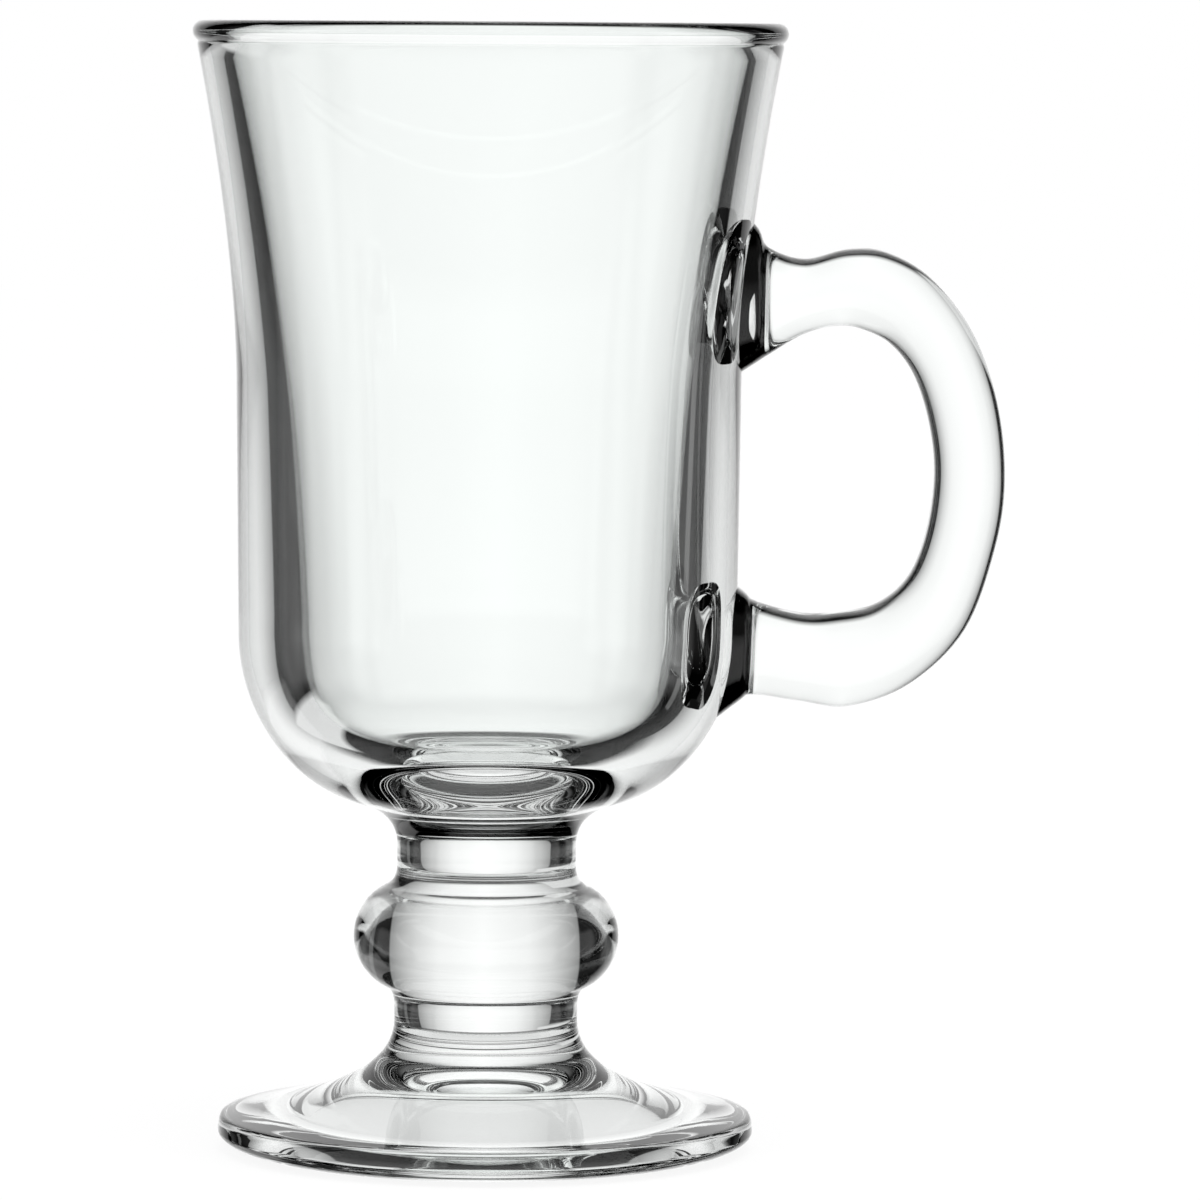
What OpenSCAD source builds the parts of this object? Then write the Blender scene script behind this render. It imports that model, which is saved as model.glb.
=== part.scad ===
// Irish coffee glass mug: a flared bowl on a short knopped stem and a broad foot,
// with a pulled loop handle. Every piece is solid soda-lime glass, joined hot.
// Units are millimetres. The origin is on the axis of the bowl at the resting plane,
// +Z is up and the handle points along +X.

/* [Bowl] */
// Height of the bowl from the end of its bottom flare to the top of the rim
bowl_h = 100.8; // [90:0.1:115]
// Outside diameter over the rim bead
rim_d = 76.7; // [72:0.1:84]
// Radial thickness of the rim from the bead to the mouth
rim_wall = 4.2; // [3:0.1:5]
// Rounding radius of the rim bead and of the inner lip
rim_round = 1.4; // [0.8:0.1:1.5]
// How far the rim bead stands proud of the wall below it
bead_proud = 0.6; // [0.2:0.05:1]
// Outside diameter of the wall where the flare begins
waist_d = 65.2; // [60:0.1:68]
// Height of the flared part of the wall, up to the underside of the bead
flare_h = 42.9; // [34:0.1:52]
// Outside diameter at the lowest point of the straight wall
shoulder_d = 64.5; // [60:0.1:66]
// Height of the rounded bottom, from the stub flare to the straight wall
bottom_h = 22; // [18:0.1:28]
// Inside diameter where the inner wall turns into the round bottom
cavity_d = 48.4; // [44:0.1:54]
// Height of the round part of the inside bottom
cavity_round_h = 17.5; // [12:0.1:22]
// Thickness of the glass from the stub flare up to the inside bottom, on the axis
bottom_wall = 6; // [5:0.1:10]

/* [Stem] */
// Diameter of the upper collar at its narrowest
upper_collar_d = 23.2; // [19:0.1:27]
// Height of the straight and blended part of the upper collar
upper_collar_h = 5.3; // [4.5:0.1:9]
// Diameter of the bowl's stub where its flare meets the round bottom
stub_d = 33.8; // [29:0.1:36]
// Height of the flare between the upper collar and the round bottom
stub_h = 5.7; // [4:0.1:8]
// Greatest diameter of the knop
knop_d = 34.4; // [31:0.1:40]
// Height of the knop between its two joint faces
knop_h = 13; // [10.5:0.1:13.8]
// Section radius of the knop's round side
knop_round = 7.2; // [7:0.1:9]
// Diameter of the lower collar at its narrowest
lower_collar_d = 23.8; // [19:0.1:27]
// Height of the straight and blended part of the lower collar
lower_collar_h = 4.4; // [3.3:0.1:7]
// Height over which a collar blends into the knop
knop_blend_h = 2; // [1:0.1:2.4]

/* [Foot] */
// Diameter of the foot
foot_d = 69.5; // [62:0.1:78]
// Height of the foot from the table to the top of its flare
foot_h = 16.8; // [14:0.1:22]
// Height of the crease where the top of the foot turns into its edge
foot_edge_h = 4.5; // [3.6:0.1:6]
// Height of the widest line of the foot's edge
foot_belly_h = 2.4; // [1.6:0.1:3]
// Outside diameter of the flat ring that rests on the table
ring_out_d = 57; // [52:0.1:60]
// Inside diameter of the flat ring that rests on the table
ring_in_d = 49; // [40:0.1:50]
// Depth of the round hollow under the foot
hollow_h = 9.5; // [0.6:0.1:11]

/* [Handle] */
// How far the handle reaches from the axis of the bowl
handle_reach = 66.7; // [60:0.1:74]
// Clear width of the finger gap, measured from the wall at the waist
finger_gap = 24.9; // [20:0.1:27]
// Height of the gap inside the loop
gap_h = 37.4; // [32:0.1:42]
// Height of the middle of the gap above the stub flare of the bowl
gap_mid_h = 43.3; // [41:0.1:48]
// Thickness of the loop at the waist near the upper weld
upper_grip_t = 9.8; // [8:0.1:11]
// Thickness of the loop near the lower weld
lower_grip_t = 11.7; // [9:0.1:13]
// Width of the handle from side to side
handle_w = 10; // [8:0.1:12]
// How far each weld flares out sideways beyond the handle's side
weld_flare = 1.6; // [0:0.1:3]

/* [Hidden] */
$fn = 120;
glass = [0.84, 0.9, 0.89, 0.45];

// Where the pieces meet, as a share of the flare curve that runs across each joint
stub_cut = 0.45;
foot_cut = 0.17;

// How each flare bends: the share of its height that it stays near its collar
stub_stay = 0.76;
foot_stay = 0.42;

// The round bottom of the bowl: how far it runs out before it turns up, how much it
// has risen there, and the share of its height that already stands nearly upright
bottom_run = 8.4;
bottom_rise = 2.1;
bottom_upright = 0.48;

// The flared wall: how far it leans out over the first part of the flare, and that part
flare_lean = 0.25;
flare_start = 0.41;
// How far below level the round of the rim bead starts, in degrees
bead_under = 60;

// The inner wall: its run in below the lip, and its lean above the round bottom
lip_run = 6.9;
lip_run_h = 28.6;
cavity_lean = 1;
cavity_lean_h = 23;
// The round inside bottom: the share of its height it stays steep, and of its width flat
cavity_steep = 0.8;
cavity_flat = 0.72;

// The foot: how far its top lies in from its side at the crease, and how the top runs there
crease_in = 0.55;
crease_run = 12.4;
crease_rise = 2.2;
// The foot's edge: how far its side lies in and down just below the crease, and how far
// above its widest line it stands upright
edge_bow = [0.15, 0.2];
edge_upright = 0.9;
// The edge's underside: the share of its height that is still upright below the widest line,
// and the share of its width that already lies flat beside the resting ring
edge_under = 0.58;
ring_reach = 0.45;
// The hollow under the foot: the share of its radius and depth where its side bends, and
// the share of its radius that is nearly flat
hollow_side = 0.72;
hollow_flat = 0.4;

// Heights of the stack, from the table up
lower_collar_z = foot_h;
knop_z = lower_collar_z + lower_collar_h;
upper_collar_z = knop_z + knop_h;
stub_z = upper_collar_z + upper_collar_h;
bowl_z = stub_z + stub_h;
shoulder_z = bowl_z + bottom_h;
rim_z = bowl_z + bowl_h;
bead_z = rim_z - rim_round;
flare_top_z = bead_z - 1.2 * rim_round;
waist_z = flare_top_z - flare_h;

// Curves. Each returns points at steps of a share from t0 to t1.
function quad(a, b, c, t) = (1 - t) * (1 - t) * a + 2 * (1 - t) * t * b + t * t * c;
function cubic(a, b, c, d, t) = (1 - t) * quad(a, b, c, t) + t * quad(b, c, d, t);
function quad_pts(a, b, c, t0, t1, n) = [for (i = [0:n]) quad(a, b, c, t0 + (t1 - t0) * i / n)];
function cubic_pts(a, b, c, d, t0, t1, n) =
    [for (i = [0:n]) cubic(a, b, c, d, t0 + (t1 - t0) * i / n)];
function arc_pts(centre, r, a0, a1, n) =
    [for (i = [0:n]) let (a = a0 + (a1 - a0) * i / n) centre + r * [cos(a), sin(a)]];

// Radius of the knop at its two joint faces, and the slope of its side there
knop_c = knop_d / 2 - knop_round;
knop_angle = asin(knop_h / 2 / knop_round);
knop_end_r = knop_c + knop_round * cos(knop_angle);
knop_slope = 1 / tan(knop_angle);

// The blend from a knop face to a collar: starts along the knop's side, ends upright and
// leaves a tenth of the collar straight
function blend_pts(collar_r, collar_h) =
    let (room = 0.9 * collar_h - knop_blend_h,
         rise = max(0.1, min((knop_end_r - collar_r) * knop_slope, room)))
    quad_pts([knop_end_r, 0], [collar_r, rise], [collar_r, rise + knop_blend_h], 0, 1, 8);

// Flare from the upper collar to the round bottom of the bowl
function stub_flare(t0, t1) =
    quad_pts([upper_collar_d / 2, stub_z],
             [upper_collar_d / 2, stub_z + stub_stay * stub_h],
             [stub_d / 2, bowl_z], t0, t1, 6);

// Flare from the lower collar to the crease at the edge of the foot
crease_r = foot_d / 2 - crease_in;
function foot_flare(t0, t1) =
    cubic_pts([lower_collar_d / 2, foot_h],
              [lower_collar_d / 2, (1 - foot_stay) * foot_h],
              [crease_r - crease_run, foot_edge_h + crease_rise],
              [crease_r, foot_edge_h], t0, t1, 12);

// Outer side of the bowl, from the joint with the upper collar to the top of the rim
function bowl_outside() = concat(
    stub_flare(stub_cut, 1),
    cubic_pts([stub_d / 2, bowl_z],
              [stub_d / 2 + bottom_run, bowl_z + bottom_rise],
              [shoulder_d / 2, shoulder_z - bottom_upright * bottom_h],
              [shoulder_d / 2, shoulder_z], 0.06, 1, 15),
    quad_pts([waist_d / 2, waist_z],
             [waist_d / 2 + flare_lean, waist_z + flare_start * flare_h],
             [rim_d / 2 - bead_proud, flare_top_z], 0, 1, 12),
    arc_pts([rim_d / 2 - rim_round, bead_z], rim_round, -bead_under, 90, 8));

// Inner side of the bowl, from the lip down to the inside bottom on the axis
cavity_z = bowl_z + bottom_wall;
cavity_top_z = cavity_z + cavity_round_h;
lip_r = rim_d / 2 - rim_wall;
function bowl_inside() = concat(
    arc_pts([lip_r + rim_round, bead_z], rim_round, 90, 180, 6),
    cubic_pts([lip_r, bead_z],
              [lip_r - lip_run, bead_z - lip_run_h],
              [cavity_d / 2 + cavity_lean, cavity_top_z + cavity_lean_h],
              [cavity_d / 2, cavity_top_z], 0.04, 1, 16),
    cubic_pts([cavity_d / 2, cavity_top_z],
              [cavity_d / 2, cavity_top_z - cavity_steep * cavity_round_h],
              [cavity_flat * cavity_d / 2, cavity_z],
              [0, cavity_z], 0.07, 1, 13));

module bowl() {
    color(glass)
        rotate_extrude()
            polygon(concat([[0, bowl_outside()[0][1]]], bowl_outside(), bowl_inside()));
}

// The bowl with its inside filled, which is what the handle's weld faces are cut by
module bowl_envelope() {
    rotate_extrude()
        polygon(concat([[0, bowl_outside()[0][1]]], bowl_outside(), [[0, rim_z]]));
}

module upper_collar() {
    color(glass)
        rotate_extrude()
            polygon(concat(
                [[0, upper_collar_z]],
                [for (p = blend_pts(upper_collar_d / 2, upper_collar_h))
                    p + [0, upper_collar_z]],
                stub_flare(0, stub_cut),
                [[0, stub_flare(0, stub_cut)[6][1]]]));
}

module knop() {
    color(glass)
        translate([0, 0, knop_z + knop_h / 2])
            rotate_extrude()
                polygon(concat(
                    [[0, -knop_h / 2]],
                    arc_pts([knop_c, 0], knop_round, -knop_angle, knop_angle, 24),
                    [[0, knop_h / 2]]));
}

module lower_collar() {
    joint = foot_flare(0, foot_cut);
    color(glass)
        rotate_extrude()
            polygon(concat(
                [[0, knop_z]],
                [for (p = blend_pts(lower_collar_d / 2, lower_collar_h))
                    [p[0], knop_z - p[1]]],
                joint,
                [[0, joint[12][1]]]));
}

module foot() {
    top = foot_flare(foot_cut, 1);
    edge_r = foot_d / 2;
    color(glass)
        rotate_extrude()
            polygon(concat(
                [[0, top[0][1]]],
                top,
                cubic_pts([crease_r, foot_edge_h],
                          [edge_r, foot_edge_h] - edge_bow,
                          [edge_r, foot_belly_h + edge_upright],
                          [edge_r, foot_belly_h], 0.1, 1, 6),
                cubic_pts([edge_r, foot_belly_h],
                          [edge_r, (1 - edge_under) * foot_belly_h],
                          [ring_out_d / 2 + ring_reach * (edge_r - ring_out_d / 2), 0],
                          [ring_out_d / 2, 0], 0.1, 1, 8),
                cubic_pts([ring_in_d / 2, 0],
                          [hollow_side * ring_in_d / 2, hollow_side * hollow_h],
                          [hollow_flat * ring_in_d / 2, hollow_h],
                          [0, hollow_h], 0, 1, 12)));
}

// The loop, as stations from the upper weld round to the lower one. Each station gives
// where the section crosses the inside of the loop, where it crosses the outside, and
// its width. The section lies between those two points, square to the side view.
gap_z = bowl_z + gap_mid_h;
gap_top = gap_z + gap_h / 2;
gap_low = gap_z - gap_h / 2;
gap_x = waist_d / 2 + finger_gap;
wall_x = waist_d / 2;
loop_x = handle_reach;
root_w = handle_w + 2 * weld_flare;
stations = [
    [[wall_x - 4, gap_top - 8.6], [wall_x - 4, gap_top + upper_grip_t + 7.5], root_w + 2.4],
    [[wall_x + 1.3, gap_top - 5.2], [wall_x + 1.6, gap_top + upper_grip_t + 3.2], root_w],
    [[wall_x + 3.6, gap_top - 3.7], [wall_x + 3.3, gap_top + upper_grip_t + 0.3], handle_w],
    [[wall_x + 8, gap_top - 1.1], [wall_x + 8, gap_top + upper_grip_t - 1.2], handle_w],
    [[wall_x + 12.4, gap_top], [wall_x + 13.6, gap_top + upper_grip_t + 0.1], handle_w],
    [[gap_x - 9.3, gap_top - 0.5], [loop_x - 15.5, gap_top + upper_grip_t - 0.3], handle_w],
    [[gap_x - 5.8, gap_top - 2.3], [loop_x - 9.8, gap_top + upper_grip_t - 3.6], handle_w],
    [[gap_x - 2.8, gap_top - 6.2], [loop_x - 4.4, gap_top + upper_grip_t - 10.5], handle_w],
    [[gap_x - 0.8, gap_top - 12.2], [loop_x - 1.1, gap_z + 9], handle_w],
    [[gap_x, gap_z - 0.3], [loop_x, gap_z - 1], handle_w],
    [[gap_x - 0.9, gap_z - 7.8], [loop_x - 1.2, gap_z - 10], handle_w],
    [[gap_x - 3.2, gap_low + 5], [loop_x - 5, gap_low - 1.8], handle_w],
    [[gap_x - 7.2, gap_low + 1.5], [loop_x - 12, gap_low - lower_grip_t + 2.9], handle_w],
    [[wall_x + 12.4, gap_low + 0.4], [wall_x + 14.2, gap_low - lower_grip_t - 0.1], handle_w],
    [[wall_x + 7.8, gap_low + 0.2], [wall_x + 7.8, gap_low - lower_grip_t + 0.5], handle_w],
    [[wall_x + 2, gap_low + 1.7], [wall_x + 1.8, gap_low - lower_grip_t + 1.3], handle_w],
    [[wall_x + 0.4, gap_low + 3], [wall_x - 0.3, gap_low - lower_grip_t + 0.3], root_w],
    [[wall_x - 5, gap_low + 7], [wall_x - 7, gap_low - lower_grip_t - 5], root_w + 2.4]];

// A smooth run through the stations, with steps_per_station rings between neighbours
steps_per_station = 4;
section_pts = 24;
function catmull(a, b, c, d, t) =
    0.5 * (2 * b + (c - a) * t + (2 * a - 5 * b + 4 * c - d) * t * t
           + (3 * b - a - 3 * c + d) * t * t * t);
function station(i) = stations[max(0, min(len(stations) - 1, i))];
function along(i, k, t) =
    catmull(station(i - 1)[k], station(i)[k], station(i + 1)[k], station(i + 2)[k], t);

// A rounded-rectangle section: flat sides with soft corners
corner = 0.66;
function soft(v) = sign(v) * pow(abs(v), corner);
function ring(inner, outer, width) =
    [for (j = [0:section_pts - 1])
        let (a = 360 * (j + 0.5) / section_pts,
             p = (inner + outer) / 2 + (outer - inner) / 2 * soft(cos(a)))
        [p[0], width / 2 * soft(sin(a)), p[1]]];

module loop() {
    spans = len(stations) - 1;
    rings = [for (s = [0:spans * steps_per_station])
        let (i = min(floor(s / steps_per_station), spans - 1),
             t = s / steps_per_station - i)
        ring(along(i, 0, t), along(i, 1, t), max(handle_w, along(i, 2, t)))];
    last = len(rings) - 1;
    n = section_pts;
    polyhedron(
        points = [for (r = rings) each r],
        faces = concat(
            [[for (j = [0:n - 1]) j]],
            [for (s = [0:last - 1], j = [0:n - 1])
                [s * n + j, (s + 1) * n + j, (s + 1) * n + (j + 1) % n]],
            [for (s = [0:last - 1], j = [0:n - 1])
                [s * n + j, (s + 1) * n + (j + 1) % n, s * n + (j + 1) % n]],
            [[for (j = [n - 1:-1:0]) last * n + j]]));
}

module handle() {
    color(glass)
        difference() {
            loop();
            bowl_envelope();
        }
}

bowl();
handle();
upper_collar();
knop();
lower_collar();
foot();
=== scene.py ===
import math

import bmesh
import bpy
from mathutils import Matrix, Vector


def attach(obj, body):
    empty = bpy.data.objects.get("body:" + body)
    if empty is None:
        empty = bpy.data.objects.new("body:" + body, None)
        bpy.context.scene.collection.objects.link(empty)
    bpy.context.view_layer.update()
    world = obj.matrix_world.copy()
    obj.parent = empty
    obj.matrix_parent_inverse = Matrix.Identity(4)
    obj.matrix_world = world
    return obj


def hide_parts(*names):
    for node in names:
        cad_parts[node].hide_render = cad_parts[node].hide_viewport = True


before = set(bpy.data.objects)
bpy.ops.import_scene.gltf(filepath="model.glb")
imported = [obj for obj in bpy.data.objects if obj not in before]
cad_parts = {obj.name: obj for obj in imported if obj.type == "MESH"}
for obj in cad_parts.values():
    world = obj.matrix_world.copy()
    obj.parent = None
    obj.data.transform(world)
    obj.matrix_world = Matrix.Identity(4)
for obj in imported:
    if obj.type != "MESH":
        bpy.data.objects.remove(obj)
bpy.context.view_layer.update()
scene = bpy.context.scene
mm = 0.001
spinSteps = 288      # facets round each turned piece, a multiple of 4
pointGap = 0.002     # mm, points of an outline closer than this are one
sameSpot = 1e-7      # m, vertices closer than this are one
seamReach = 2e-6     # m, how far the seam round a weld may be apart


# curves in the (radius, height) plane, in mm

def quadCurve(a, b, c, count, start=0.0, end=1.0):
    points = []
    for i in range(count + 1):
        t = start + (end - start) * i / count
        points.append((1 - t) ** 2 * Vector(a) + 2 * t * (1 - t) * Vector(b) + t * t * Vector(c))
    return points


def cubicCurve(a, b, c, d, count, start=0.0, end=1.0):
    points = []
    for i in range(count + 1):
        t = start + (end - start) * i / count
        points.append((1 - t) ** 3 * Vector(a) + 3 * t * (1 - t) ** 2 * Vector(b)
                      + 3 * t * t * (1 - t) * Vector(c) + t ** 3 * Vector(d))
    return points


def arcCurve(centre, radius, startDeg, endDeg, count):
    points = []
    for i in range(count + 1):
        angle = math.radians(startDeg + (endDeg - startDeg) * i / count)
        points.append(Vector(centre) + radius * Vector((math.cos(angle), math.sin(angle))))
    return points


def joinCurves(*curves):
    points = []
    for curve in curves:
        for point in curve:
            if not points or (point - points[-1]).length > pointGap:
                points.append(point)
    return points


# materials

def linearColour(hexCode):
    channels = [int(hexCode[i:i + 2], 16) / 255 for i in (1, 3, 5)]
    return [c / 12.92 if c <= 0.04045 else ((c + 0.055) / 1.055) ** 2.4 for c in channels] + [1.0]


def addNode(tree, kind, settings=None, links=None):
    node = tree.nodes.new(kind)
    for name, value in (settings or {}).items():
        if isinstance(name, int) or name in node.inputs:
            node.inputs[name].default_value = value
        else:
            setattr(node, name, value)
    for name, source in (links or {}).items():
        tree.links.new(source, node.inputs[name])
    return node


def newMaterial(name):
    material = bpy.data.materials.new(name)
    material.use_nodes = True
    material.node_tree.nodes.clear()
    return material


# Clear soda-lime glass, pressed and fire polished: colourless with the faintest grey-green
# where it is thick, a mirror-smooth skin, and long shallow waves left by the mould
sodaLime = {"tint": "#fbfdfc", "ior": 1.52, "roughness": 0.0, "waveLength": 16.0,
            "waveHeight": 0.012, "waveDetail": 1.0, "waveRoughness": 0.4}


def makeSodaLimeGlass():
    material = newMaterial("sodaLimeGlass")
    tree = material.node_tree
    place = addNode(tree, "ShaderNodeTexCoord")
    waves = addNode(tree, "ShaderNodeTexNoise",
                    {"Scale": 1 / (sodaLime["waveLength"] * mm),
                     "Detail": sodaLime["waveDetail"], "Roughness": sodaLime["waveRoughness"]},
                    {"Vector": place.outputs["Object"]})
    relief = addNode(tree, "ShaderNodeBump",
                     {"Strength": 1.0, "Distance": sodaLime["waveHeight"] * mm},
                     {"Height": waves.outputs["Fac"]})
    glass = addNode(tree, "ShaderNodeBsdfPrincipled",
                    {"Base Color": linearColour(sodaLime["tint"]),
                     "Roughness": sodaLime["roughness"], "IOR": sodaLime["ior"],
                     "Transmission Weight": 1.0},
                    {"Normal": relief.outputs["Normal"]})
    addNode(tree, "ShaderNodeOutputMaterial", None, {"Surface": glass.outputs["BSDF"]})
    return material


# Where two gathers of glass melted together nothing is left to see, so light goes straight on
def makeMeltedJoint():
    material = newMaterial("meltedJoint")
    tree = material.node_tree
    clear = addNode(tree, "ShaderNodeBsdfTransparent", {"Color": (1, 1, 1, 1)})
    addNode(tree, "ShaderNodeOutputMaterial", None, {"Surface": clear.outputs["BSDF"]})
    return material


glassMaterial = makeSodaLimeGlass()
jointMaterial = makeMeltedJoint()


# the stack of turned pieces, each with its outline from the lower joint to the upper one

# (heights, runs and diameters in mm; names such as Flat, Stay or Share stand for parts of 1)
foot = {"diameter": 69.5, "height": 16.8, "creaseHeight": 4.5, "creaseIn": 0.55,
        "creaseRun": 12.4, "creaseRise": 2.2, "flareStay": 0.42, "cut": 0.17,
        "bellyHeight": 2.4, "bellyRise": 0.9, "bellyShare": 0.42, "edgeIn": 0.15, "edgeDrop": 0.2,
        "ringOut": 57.0, "ringIn": 49.0, "ringShare": 0.45,
        "hollow": 9.5, "hollowSteep": 0.72, "hollowFlat": 0.4}
lowerCollar = {"diameter": 23.8, "height": 4.4}
knop = {"diameter": 34.4, "height": 13.0, "round": 7.2, "blend": 2.0, "blendShare": 0.9}
upperCollar = {"diameter": 23.2, "height": 5.3}
bowl = {"height": 100.8, "rim": 76.7, "rimWall": 4.2, "rimRound": 1.4,
        "beadProud": 0.6, "beadDrop": 1.2, "beadFromDeg": -60,
        "waist": 65.2, "flareHeight": 42.9, "flareLean": 0.25, "flareStart": 0.41,
        "shoulder": 64.5, "bottomHeight": 22.0, "bottomRun": 8.4, "bottomRise": 2.1,
        "bottomUpright": 0.48, "cavity": 48.4, "cavityHeight": 17.5, "bottomWall": 6.0,
        "lipRun": 6.9, "lipRunHeight": 28.6, "cavityLean": 1.0, "cavityLeanHeight": 23.0,
        "cavitySteep": 0.8, "cavityFlat": 0.72, "stub": 33.8, "stubHeight": 5.7,
        "stubStay": 0.76, "cut": 0.45}

knopZ = foot["height"] + lowerCollar["height"]
upperCollarZ = knopZ + knop["height"]
stubZ = upperCollarZ + upperCollar["height"]
bowlZ = stubZ + bowl["stubHeight"]
shoulderZ = bowlZ + bowl["bottomHeight"]
rimZ = bowlZ + bowl["height"]
beadZ = rimZ - bowl["rimRound"]
flareTopZ = beadZ - bowl["beadDrop"] * bowl["rimRound"]
waistZ = flareTopZ - bowl["flareHeight"]


def footFlare(start, end, count):
    crease = foot["diameter"] / 2 - foot["creaseIn"]
    neck = lowerCollar["diameter"] / 2
    return cubicCurve((neck, foot["height"]), (neck, (1 - foot["flareStay"]) * foot["height"]),
                      (crease - foot["creaseRun"], foot["creaseHeight"] + foot["creaseRise"]),
                      (crease, foot["creaseHeight"]), count, start, end)


def footOutline():
    side = foot["diameter"] / 2
    crease = side - foot["creaseIn"]
    belly = foot["bellyHeight"]
    ringOut, ringIn = foot["ringOut"] / 2, foot["ringIn"] / 2
    hollow, steep = foot["hollow"], foot["hollowSteep"]
    return joinCurves(
        [Vector((0, hollow))],
        reversed(cubicCurve((ringIn, 0), (steep * ringIn, steep * hollow),
                            (foot["hollowFlat"] * ringIn, hollow), (0, hollow), 28)),
        [Vector((ringIn, 0)), Vector((ringOut, 0))],
        reversed(cubicCurve((side, belly), (side, foot["bellyShare"] * belly),
                            (ringOut + foot["ringShare"] * (side - ringOut), 0),
                            (ringOut, 0), 18, 0.04)),
        reversed(cubicCurve((crease, foot["creaseHeight"]),
                            (side - foot["edgeIn"], foot["creaseHeight"] - foot["edgeDrop"]),
                            (side, belly + foot["bellyRise"]), (side, belly), 14, 0.05)),
        reversed(footFlare(foot["cut"], 1, 48)))


def collarBlend(radius, height):
    middle = knop["diameter"] / 2 - knop["round"]
    sideAngle = math.asin(knop["height"] / 2 / knop["round"])
    end = middle + knop["round"] * math.cos(sideAngle)
    rise = min((end - radius) / math.tan(sideAngle), knop["blendShare"] * height - knop["blend"])
    return quadCurve((end, 0), (radius, rise), (radius, rise + knop["blend"]), 20)


def lowerCollarOutline():
    radius = lowerCollar["diameter"] / 2
    blend = [Vector((p.x, knopZ - p.y)) for p in collarBlend(radius, lowerCollar["height"])]
    return joinCurves(reversed(footFlare(0, foot["cut"], 16)), reversed(blend))


def knopOutline():
    middle = knop["diameter"] / 2 - knop["round"]
    sideAngle = math.degrees(math.asin(knop["height"] / 2 / knop["round"]))
    return arcCurve((middle, knopZ + knop["height"] / 2), knop["round"], -sideAngle, sideAngle, 56)


def stubFlare(start, end, count):
    neck = upperCollar["diameter"] / 2
    return quadCurve((neck, stubZ), (neck, stubZ + bowl["stubStay"] * bowl["stubHeight"]),
                     (bowl["stub"] / 2, bowlZ), count, start, end)


def upperCollarOutline():
    radius = upperCollar["diameter"] / 2
    blend = [Vector((p.x, upperCollarZ + p.y)) for p in collarBlend(radius, upperCollar["height"])]
    return joinCurves(blend, stubFlare(0, bowl["cut"], 14))


def bowlOutside():
    stub, shoulder, waist = bowl["stub"] / 2, bowl["shoulder"] / 2, bowl["waist"] / 2
    return joinCurves(
        stubFlare(bowl["cut"], 1, 16),
        cubicCurve((stub, bowlZ), (stub + bowl["bottomRun"], bowlZ + bowl["bottomRise"]),
                   (shoulder, shoulderZ - bowl["bottomUpright"] * bowl["bottomHeight"]),
                   (shoulder, shoulderZ), 44, 0.02),
        [Vector((shoulder, shoulderZ)).lerp(Vector((waist, waistZ)), i / 6) for i in range(7)],
        quadCurve((waist, waistZ),
                  (waist + bowl["flareLean"], waistZ + bowl["flareStart"] * bowl["flareHeight"]),
                  (bowl["rim"] / 2 - bowl["beadProud"], flareTopZ), 30),
        arcCurve((bowl["rim"] / 2 - bowl["rimRound"], beadZ), bowl["rimRound"],
                 bowl["beadFromDeg"], 90, 20))


def bowlInside():
    lip = bowl["rim"] / 2 - bowl["rimWall"]
    cavity = bowl["cavity"] / 2
    floorZ = bowlZ + bowl["bottomWall"]
    turnZ = floorZ + bowl["cavityHeight"]
    return joinCurves(
        arcCurve((lip + bowl["rimRound"], beadZ), bowl["rimRound"], 90, 180, 14),
        cubicCurve((lip, beadZ), (lip - bowl["lipRun"], beadZ - bowl["lipRunHeight"]),
                   (cavity + bowl["cavityLean"], turnZ + bowl["cavityLeanHeight"]),
                   (cavity, turnZ), 44, 0.02),
        cubicCurve((cavity, turnZ), (cavity, turnZ - bowl["cavitySteep"] * bowl["cavityHeight"]),
                   (bowl["cavityFlat"] * cavity, floorZ), (0, floorZ), 44, 0.03))


def onAxis(height):
    return [Vector((0, height))]


def turn(name, outline, jointHeights=()):
    # spins an outline in mm into a closed mesh, with its flat joint faces in the second slot
    bm = bmesh.new()
    verts = [bm.verts.new((p.x * mm, 0, p.y * mm)) for p in outline]
    edges = [bm.edges.new(pair) for pair in zip(verts, verts[1:])]
    # a quarter turn, then three copies of it, which is far quicker than one full turn
    bmesh.ops.spin(bm, geom=verts + edges, cent=(0, 0, 0), axis=(0, 0, 1), angle=math.pi / 2,
                   steps=spinSteps // 4, use_duplicate=False)
    bmesh.ops.spin(bm, geom=bm.verts[:] + bm.edges[:] + bm.faces[:], cent=(0, 0, 0),
                   axis=(0, 0, 1), angle=1.5 * math.pi, steps=3, use_duplicate=True)
    bmesh.ops.remove_doubles(bm, verts=bm.verts, dist=sameSpot)
    bmesh.ops.recalc_face_normals(bm, faces=bm.faces)
    bmesh.ops.triangulate(bm, faces=bm.faces, quad_method="FIXED")
    for face in bm.faces:
        face.smooth = True
        for height in jointHeights:
            if all(abs(v.co.z - height * mm) < sameSpot for v in face.verts):
                face.material_index = 1
    mesh = bpy.data.meshes.new(name)
    bm.to_mesh(mesh)
    bm.free()
    mesh.materials.append(glassMaterial)
    mesh.materials.append(jointMaterial)
    piece = bpy.data.objects.new(name, mesh)
    scene.collection.objects.link(piece)
    return piece


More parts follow.
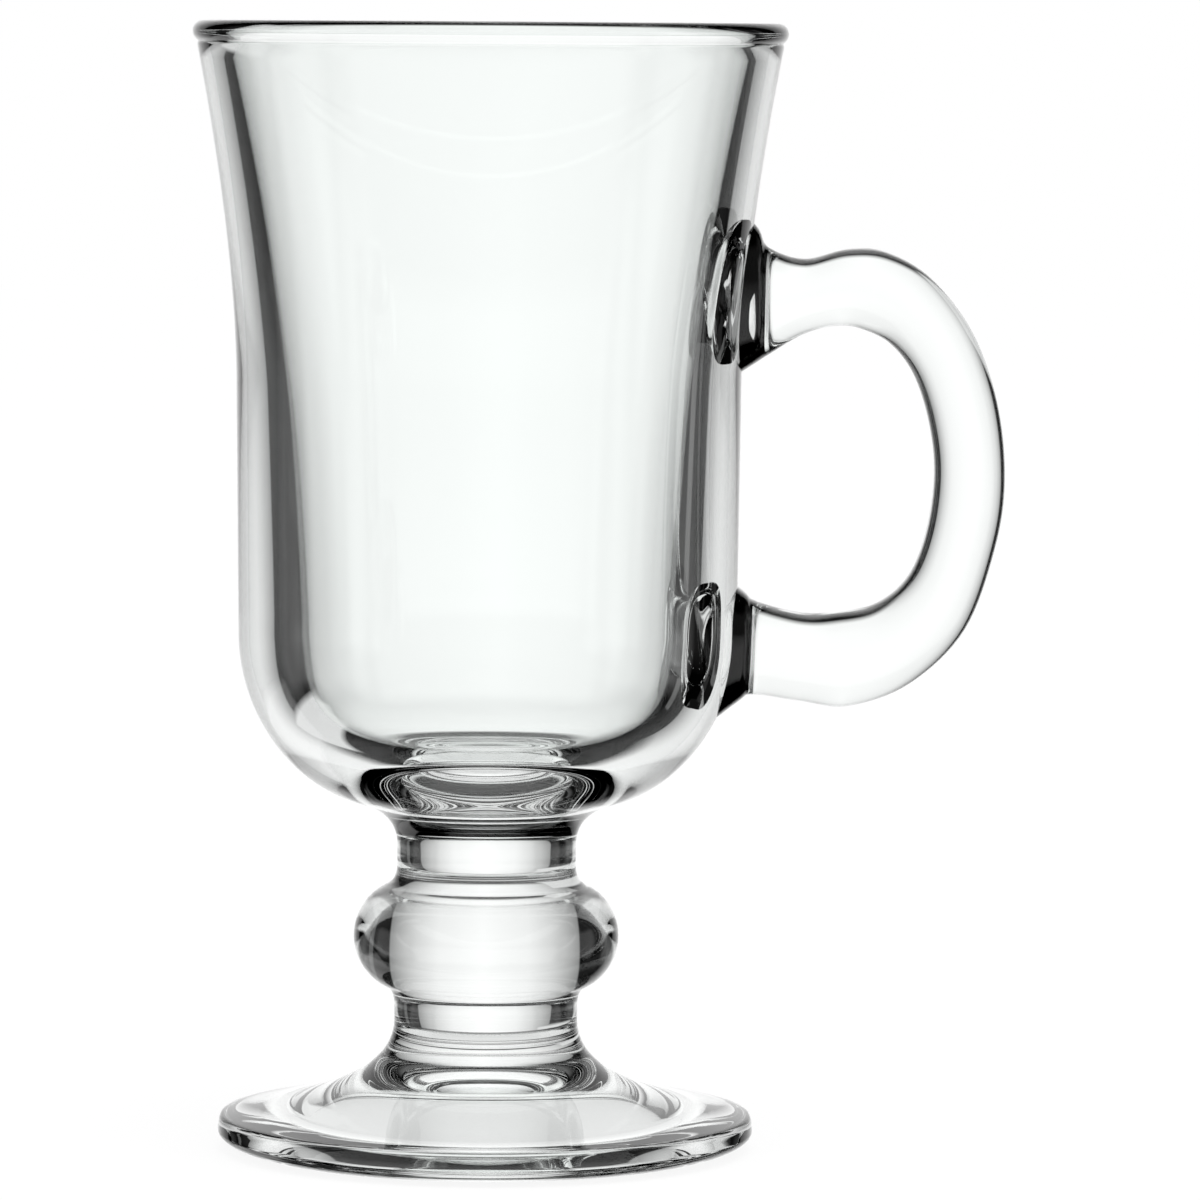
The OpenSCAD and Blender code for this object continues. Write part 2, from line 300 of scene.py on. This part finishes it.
footTop = footOutline()[-1].y
stubTop = upperCollarOutline()[-1].y
wholeOutline = joinCurves(footOutline(), lowerCollarOutline(), knopOutline(),
                          upperCollarOutline(), bowlOutside(), bowlInside())
wholeGlass = turn("wholeGlass", wholeOutline)
bowlPiece = turn("pressedBowl", joinCurves(onAxis(stubTop), bowlOutside(), bowlInside()),
                 [stubTop])
upperCollarPiece = turn("upperNeck", joinCurves(onAxis(upperCollarZ), upperCollarOutline(),
                                                onAxis(stubTop)), [upperCollarZ, stubTop])
knopPiece = turn("stemKnop", joinCurves(onAxis(knopZ), knopOutline(), onAxis(upperCollarZ)),
                 [knopZ, upperCollarZ])
lowerCollarPiece = turn("lowerNeck", joinCurves(onAxis(footTop), lowerCollarOutline(),
                                                onAxis(knopZ)), [footTop, knopZ])
footPiece = turn("pressedFoot", joinCurves(footOutline(), onAxis(footTop)), [footTop])
print("turned pieces:", len(wholeOutline), "points in the whole outline")


# the pulled loop handle

handle = {"reach": 66.7, "fingerGap": 24.9, "gapHeight": 37.4, "gapMiddle": 43.3,
          "upperGrip": 9.8, "lowerGrip": 11.7, "width": 10.0, "weldFlare": 1.6,
          "corner": 0.66, "sectionPoints": 64, "stepsPerStation": 8,
          "upperRoot": 31.5, "lowerRoot": 28.5}


def handleStations():
    # where each section crosses the inside and the outside of the loop, and its width
    gapZ = bowlZ + handle["gapMiddle"]
    top, low = gapZ + handle["gapHeight"] / 2, gapZ - handle["gapHeight"] / 2
    wall, reach = bowl["waist"] / 2, handle["reach"]
    gap = wall + handle["fingerGap"]
    upper, lower = handle["upperGrip"], handle["lowerGrip"]
    width, root = handle["width"], handle["width"] + 2 * handle["weldFlare"]
    return [((wall - 4, top - 8.6), (wall - 4, top + upper + 7.5), root + 2.4),
            ((wall + 1.3, top - 5.2), (wall + 1.6, top + upper + 3.2), root),
            ((wall + 3.6, top - 3.7), (wall + 3.3, top + upper + 0.3), width),
            ((wall + 8, top - 1.1), (wall + 8, top + upper - 1.2), width),
            ((wall + 12.4, top), (wall + 13.6, top + upper + 0.1), width),
            ((gap - 9.3, top - 0.5), (reach - 15.5, top + upper - 0.3), width),
            ((gap - 5.8, top - 2.3), (reach - 9.8, top + upper - 3.6), width),
            ((gap - 2.8, top - 6.2), (reach - 4.4, top + upper - 10.5), width),
            ((gap - 0.8, top - 12.2), (reach - 1.1, gapZ + 9), width),
            ((gap, gapZ - 0.3), (reach, gapZ - 1), width),
            ((gap - 0.9, gapZ - 7.8), (reach - 1.2, gapZ - 10), width),
            ((gap - 3.2, low + 5), (reach - 5, low - 1.8), width),
            ((gap - 7.2, low + 1.5), (reach - 12, low - lower + 2.9), width),
            ((wall + 12.4, low + 0.4), (wall + 14.2, low - lower - 0.1), width),
            ((wall + 7.8, low + 0.2), (wall + 7.8, low - lower + 0.5), width),
            ((wall + 2, low + 1.7), (wall + 1.8, low - lower + 1.3), width),
            ((wall + 0.4, low + 3), (wall - 0.3, low - lower + 0.3), root),
            ((wall - 5, low + 7), (wall - 7, low - lower - 5), root + 2.4)]


def smoothRun(values, place):
    # Catmull-Rom through a list of vectors
    i = min(int(place), len(values) - 2)
    t = place - i
    a, b, c, d = (values[max(0, min(len(values) - 1, i + k))] for k in (-1, 0, 1, 2))
    return 0.5 * (2 * b + (c - a) * t + (2 * a - 5 * b + 4 * c - d) * t * t
                  + (3 * b - a - 3 * c + d) * t ** 3)


def softCorner(value):
    return math.copysign(abs(value) ** handle["corner"], value)


def makeLoop(name, material):
    stations = handleStations()
    inner = [Vector(s[0]) for s in stations]
    outer = [Vector(s[1]) for s in stations]
    widths = [Vector((s[2], 0)) for s in stations]
    count = handle["sectionPoints"]
    bm = bmesh.new()
    rings = []
    for step in range((len(stations) - 1) * handle["stepsPerStation"] + 1):
        place = step / handle["stepsPerStation"]
        a, b = smoothRun(inner, place), smoothRun(outer, place)
        width = max(handle["width"], smoothRun(widths, place).x)
        ring = bmesh.ops.create_circle(bm, segments=count, radius=1.0, cap_ends=False)["verts"]
        for vert in ring:
            along, across = softCorner(vert.co.x), softCorner(vert.co.y)
            middle = (a + b) / 2 + (b - a) / 2 * along
            vert.co = Vector((middle.x, width / 2 * across, middle.y)) * mm
        rings.append(list({e for v in ring for e in v.link_edges}))
    for near, far in zip(rings, rings[1:]):
        bmesh.ops.bridge_loops(bm, edges=near + far)
    bmesh.ops.contextual_create(bm, geom=rings[0])
    bmesh.ops.contextual_create(bm, geom=rings[-1])
    bmesh.ops.recalc_face_normals(bm, faces=bm.faces)
    bmesh.ops.triangulate(bm, faces=bm.faces, quad_method="FIXED")
    for face in bm.faces:
        face.smooth = True
    mesh = bpy.data.meshes.new(name)
    bm.to_mesh(mesh)
    bm.free()
    mesh.materials.append(material)
    piece = bpy.data.objects.new(name, mesh)
    scene.collection.objects.link(piece)
    return piece


def applyModifiers(piece):
    graph = bpy.context.evaluated_depsgraph_get()
    mesh = bpy.data.meshes.new_from_object(piece.evaluated_get(graph), depsgraph=graph)
    old = piece.data
    piece.modifiers.clear()
    piece.data = mesh
    mesh.name = piece.name
    bpy.data.meshes.remove(old)


def cutBy(piece, cutter):
    boolean = piece.modifiers.new("cut", "BOOLEAN")
    boolean.operation = "DIFFERENCE"
    boolean.solver = "EXACT"
    boolean.material_mode = "TRANSFER"
    boolean.object = cutter
    applyModifiers(piece)


def slotOf(piece, material):
    return [m.name for m in piece.data.materials].index(material.name)


def trimRoots(cutter):
    # keeps the ends of the loop inside the glass of the wall, short of the drinking side
    bm = bmesh.new()
    bm.from_mesh(cutter.data)
    middle = (bowlZ + handle["gapMiddle"]) * mm
    for side, depth in ((1, handle["upperRoot"]), (-1, handle["lowerRoot"])):
        half = [f for f in bm.faces if (f.calc_center_median().z - middle) * side > 0]
        geom = half + list({e for f in half for e in f.edges}
                           | {v for f in half for v in f.verts})
        cut = bmesh.ops.bisect_plane(bm, geom=geom, plane_co=(depth * mm, 0, 0),
                                     plane_no=(1, 0, 0), clear_inner=True)["geom_cut"]
        ends = [e for e in cut if isinstance(e, bmesh.types.BMEdge) and e.is_boundary]
        bmesh.ops.contextual_create(bm, geom=ends)
    bmesh.ops.triangulate(bm, faces=[f for f in bm.faces if len(f.verts) > 3])
    bmesh.ops.recalc_face_normals(bm, faces=bm.faces)
    for face in bm.faces:
        face.smooth = True
    bm.to_mesh(cutter.data)
    bm.free()


handlePiece = makeLoop("pulledHandle", glassMaterial)
loopCutter = makeLoop("loopCutter", jointMaterial)
trimRoots(loopCutter)
envelope = turn("bowlEnvelope", joinCurves(onAxis(stubTop), bowlOutside(), onAxis(rimZ)))
envelope.data.materials.clear()
envelope.data.materials.append(jointMaterial)
cutBy(handlePiece, envelope)
cutBy(bowlPiece, loopCutter)
print("handle cut to the bowl:", len(handlePiece.data.polygons), "faces")


def swapWeldPatch():
    # the pocket that the loop left in the bowl goes, and the handle's own weld faces close it
    bm = bmesh.new()
    bm.from_mesh(bowlPiece.data)
    jointSlot = slotOf(bowlPiece, jointMaterial)
    pocket = [f for f in bm.faces
              if f.material_index == jointSlot and f.calc_center_median().z > bowlZ * mm]
    bmesh.ops.delete(bm, geom=pocket, context="FACES")
    patch = bmesh.new()
    patch.from_mesh(handlePiece.data)
    handleSlot = slotOf(handlePiece, jointMaterial)
    skin = [f for f in patch.faces if f.material_index != handleSlot]
    bmesh.ops.delete(patch, geom=skin, context="FACES")
    bmesh.ops.reverse_faces(patch, faces=patch.faces)
    for face in patch.faces:
        face.material_index = jointSlot
    weld = bpy.data.meshes.new("weldPatch")
    patch.to_mesh(weld)
    patch.free()
    bm.from_mesh(weld)
    bpy.data.meshes.remove(weld)
    bmesh.ops.remove_doubles(bm, verts=bm.verts, dist=seamReach)
    openEdges = [e for e in bm.edges if not e.is_manifold]
    print("weld patch on the bowl:", len(pocket), "faces out,", len(openEdges), "open edges left")
    bm.to_mesh(bowlPiece.data)
    bm.free()


swapWeldPatch()
loopNormals = makeLoop("loopNormals", glassMaterial)


def copyNormals(piece, source):
    # the uncut shape gives its normals, so that no cut shows in the glass
    transfer = piece.modifiers.new("normals", "DATA_TRANSFER")
    transfer.object = source
    transfer.use_loop_data = True
    transfer.data_types_loops = {"CUSTOM_NORMAL"}
    transfer.loop_mapping = "POLYINTERP_NEAREST"
    applyModifiers(piece)


for piece in (bowlPiece, upperCollarPiece, knopPiece, lowerCollarPiece, footPiece):
    copyNormals(piece, wholeGlass)
copyNormals(handlePiece, loopNormals)
for helper in (wholeGlass, loopCutter, loopNormals, envelope):
    bpy.data.objects.remove(helper)
print("normals copied from the uncut shapes")

nodeNames = {"bowl": bowlPiece, "handle": handlePiece, "upper_collar": upperCollarPiece,
             "knop": knopPiece, "lower_collar": lowerCollarPiece, "foot": footPiece}
for nodeName, piece in nodeNames.items():
    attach(piece, "root")
    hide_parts(nodeName)
print("pieces placed:", ", ".join(p.name for p in nodeNames.values()))


# studio: a tall white sweep behind, black beside it, and pale fields to the sides and in front

# the pool settings give a painted pool of light: a glowing disc on the board under the foot, seen
# only through the glass
studio = {"floorSize": 6.0, "floorGlow": 0.9, "paintedPoolRadius": 0.0245, "paintedPoolSoft": 0.002,
          "paintedPoolGlow": 0.8, "bounces": 24, "clearBounces": 32}
# pale fields, by the degrees to the right of +Y and the degrees up that each one fills
strip = {"left": 49, "right": 52.5, "low": -20, "high": 20, "soft": 1, "level": 0.14}
table = {"left": -66, "right": -28, "low": -38, "high": -19, "soft": 3, "level": 0.78}
# the same on both sides of +Y
sideFields = [{"left": 74, "right": 106, "low": -18, "high": 10, "soft": 7, "level": 0.82},
              {"left": 118, "right": 181, "low": -28, "high": -6, "soft": 8, "level": 0.9},
              {"left": 60, "right": 181, "low": -5, "high": 25, "soft": 10, "level": 0.13}]
# brightness of the tall white sweep at so many degrees to either side of +Y
sweep = {"levels": [(0, 1.10), (14, 0.97), (22, 0.75), (32.5, 0.39), (35.2, 0.30),
                    (36.0, 0.006)],
         "low": -28, "high": 60, "soft": 10}


def levelRamp(tree, angle, levels):
    share = addNode(tree, "ShaderNodeMath", {"operation": "DIVIDE", 1: math.pi / 2}, {0: angle})
    ramp = addNode(tree, "ShaderNodeValToRGB", None, {"Fac": share.outputs[0]})
    stops = ramp.color_ramp.elements
    stops.remove(stops[-1])
    for i, (deg, level) in enumerate(levels):
        stop = stops[0] if i == 0 else stops.new(deg / 90)
        stop.position = deg / 90
        stop.color = (level, level, level, 1)
    return ramp.outputs["Color"]


def fade(tree, value, fromDeg, toDeg, fromLevel, toLevel):
    # runs from one level to the other while the value runs from one angle to the other
    return addNode(tree, "ShaderNodeMapRange",
                   {"From Min": math.radians(fromDeg), "From Max": math.radians(toDeg),
                    "To Min": fromLevel, "To Max": toLevel}, {"Value": value}).outputs["Result"]


def combine(tree, operation, a, b):
    return addNode(tree, "ShaderNodeMath", {"operation": operation}, {0: a, 1: b}).outputs[0]


def fieldGlow(tree, turned, tilt, field):
    # the level of a field inside its edges, and nothing beyond their soft margin
    soft = field["soft"]
    glow = fade(tree, turned, field["left"] - soft, field["left"], 0, field["level"])
    for value, edge in ((turned, "right"), (tilt, "high")):
        glow = combine(tree, "MULTIPLY", glow,
                       fade(tree, value, field[edge], field[edge] + soft, 1, 0))
    return combine(tree, "MULTIPLY", glow,
                   fade(tree, tilt, field["low"] - soft, field["low"], 0, 1))


def bentRay(tree):
    # 1 for the rays that the glass bends or throws back, 0 for what the camera sees directly
    light = addNode(tree, "ShaderNodeLightPath")
    return combine(tree, "MAXIMUM", light.outputs["Is Glossy Ray"],
                   light.outputs["Is Transmission Ray"])


def makeStudioWorld():
    world = bpy.data.worlds.new("paleStudio")
    world.use_nodes = True
    tree = world.node_tree
    tree.nodes.clear()
    way = addNode(tree, "ShaderNodeTexCoord").outputs["Generated"]
    axes = addNode(tree, "ShaderNodeSeparateXYZ", None, {"Vector": way})
    turned = combine(tree, "ARCTAN2", axes.outputs["X"], axes.outputs["Y"])
    tilt = addNode(tree, "ShaderNodeMath", {"operation": "ARCSINE"},
                   {0: axes.outputs["Z"]}).outputs[0]
    aside = addNode(tree, "ShaderNodeMath", {"operation": "ABSOLUTE"}, {0: turned})
    glow = levelRamp(tree, aside.outputs[0], sweep["levels"])
    for start, end in ((sweep["low"] - sweep["soft"], sweep["low"]),
                       (sweep["high"] + sweep["soft"], sweep["high"])):
        glow = combine(tree, "MULTIPLY", glow, fade(tree, tilt, start, end, 0, 1))
    for field in (strip, table):
        glow = combine(tree, "MAXIMUM", glow, fieldGlow(tree, turned, tilt, field))
    for field in sideFields:
        glow = combine(tree, "MAXIMUM", glow, fieldGlow(tree, aside.outputs[0], tilt, field))
    level = addNode(tree, "ShaderNodeMix", {"data_type": "FLOAT", 2: 1.0},
                    {0: bentRay(tree), 3: glow})
    sky = addNode(tree, "ShaderNodeBackground", {"Color": (1, 1, 1, 1)},
                  {"Strength": level.outputs[0]})
    addNode(tree, "ShaderNodeOutputWorld", None, {"Surface": sky.outputs["Background"]})
    scene.world = world


def makeFloor():
    # pale matt board, white to the camera with a faint shadow; through the glass it shows only a
    # painted pool of light under the foot
    material = newMaterial("paleBoardWithPaintedPool")
    tree = material.node_tree
    glow = addNode(tree, "ShaderNodeEmission", {"Color": (1, 1, 1, 1), "Strength": 1.0})
    board = addNode(tree, "ShaderNodeBsdfDiffuse", {"Color": (1, 1, 1, 1)})
    seen = addNode(tree, "ShaderNodeMixShader", {"Fac": studio["floorGlow"]},
                   {1: board.outputs[0], 2: glow.outputs[0]})
    # through the glass only the board under the foot's hollow is seen, as a painted pool of light:
    # a glowing disc that is no lamp
    away = addNode(tree, "ShaderNodeBsdfTransparent", {"Color": (1, 1, 1, 1)})
    place = addNode(tree, "ShaderNodeTexCoord")
    fromAxis = addNode(tree, "ShaderNodeVectorMath", {"operation": "LENGTH"},
                       {0: place.outputs["Object"]})
    outside = addNode(tree, "ShaderNodeMapRange",
                      {"From Min": studio["paintedPoolRadius"],
                       "From Max": studio["paintedPoolRadius"] + studio["paintedPoolSoft"]},
                      {"Value": fromAxis.outputs["Value"]})
    # painted light: the glow of the pool under the foot
    paintedPool = addNode(tree, "ShaderNodeEmission",
                   {"Color": (1, 1, 1, 1), "Strength": studio["paintedPoolGlow"]})
    through = addNode(tree, "ShaderNodeMixShader", None,
                      {"Fac": outside.outputs["Result"], 1: paintedPool.outputs[0], 2: away.outputs[0]})
    whole = addNode(tree, "ShaderNodeMixShader", None,
                    {"Fac": bentRay(tree), 1: seen.outputs[0], 2: through.outputs[0]})
    addNode(tree, "ShaderNodeOutputMaterial", None, {"Surface": whole.outputs[0]})
    bm = bmesh.new()
    bmesh.ops.create_grid(bm, x_segments=1, y_segments=1, size=studio["floorSize"] / 2)
    mesh = bpy.data.meshes.new("studioFloor")
    bm.to_mesh(mesh)
    bm.free()
    mesh.materials.append(material)
    floor = bpy.data.objects.new("studioFloor", mesh)
    scene.collection.objects.link(floor)


softTop = {"place": (0.2, -0.3, 1.2), "target": (0, 0, 0.07), "size": 0.8, "watts": 6.0}


def addSoftTop():
    # a soft lamp above, for the floor's faint shadow only
    lamp = bpy.data.lights.new("softTop", "AREA")
    lamp.size = softTop["size"]
    lamp.energy = softTop["watts"]
    holder = bpy.data.objects.new("softTop", lamp)
    scene.collection.objects.link(holder)
    aim = Vector(softTop["target"]) - Vector(softTop["place"])
    holder.location = softTop["place"]
    holder.rotation_euler = aim.to_track_quat("-Z", "Y").to_euler()
    holder.visible_transmission = False
    holder.visible_glossy = False


makeStudioWorld()
makeFloor()
addSoftTop()
scene.view_settings.view_transform = "Standard"
scene.cycles.transparent_max_bounces = studio["clearBounces"]
scene.cycles.max_bounces = studio["bounces"]
scene.cycles.transmission_bounces = studio["bounces"]


# camera: level with the rim and far back, as in the photograph

photoView = {"distance": 0.950, "height": 0.1466, "sideways": 0.0145, "pitchDeg": 4.523,
             "rollDeg": 0.38, "lens": 220.9, "sensor": 36.0, "nearest": 0.01}
cameraData = bpy.data.cameras.new("photoCamera")
cameraData.lens = photoView["lens"]
cameraData.sensor_width = photoView["sensor"]
cameraData.clip_start = photoView["nearest"]
camera = bpy.data.objects.new("photoCamera", cameraData)
scene.collection.objects.link(camera)
camera.matrix_world = (
    Matrix.Translation((photoView["sideways"], -photoView["distance"], photoView["height"]))
    @ Matrix.Rotation(math.radians(90 - photoView["pitchDeg"]), 4, "X")
    @ Matrix.Rotation(math.radians(photoView["rollDeg"]), 4, "Z"))
scene.camera = camera
print("studio and camera ready")
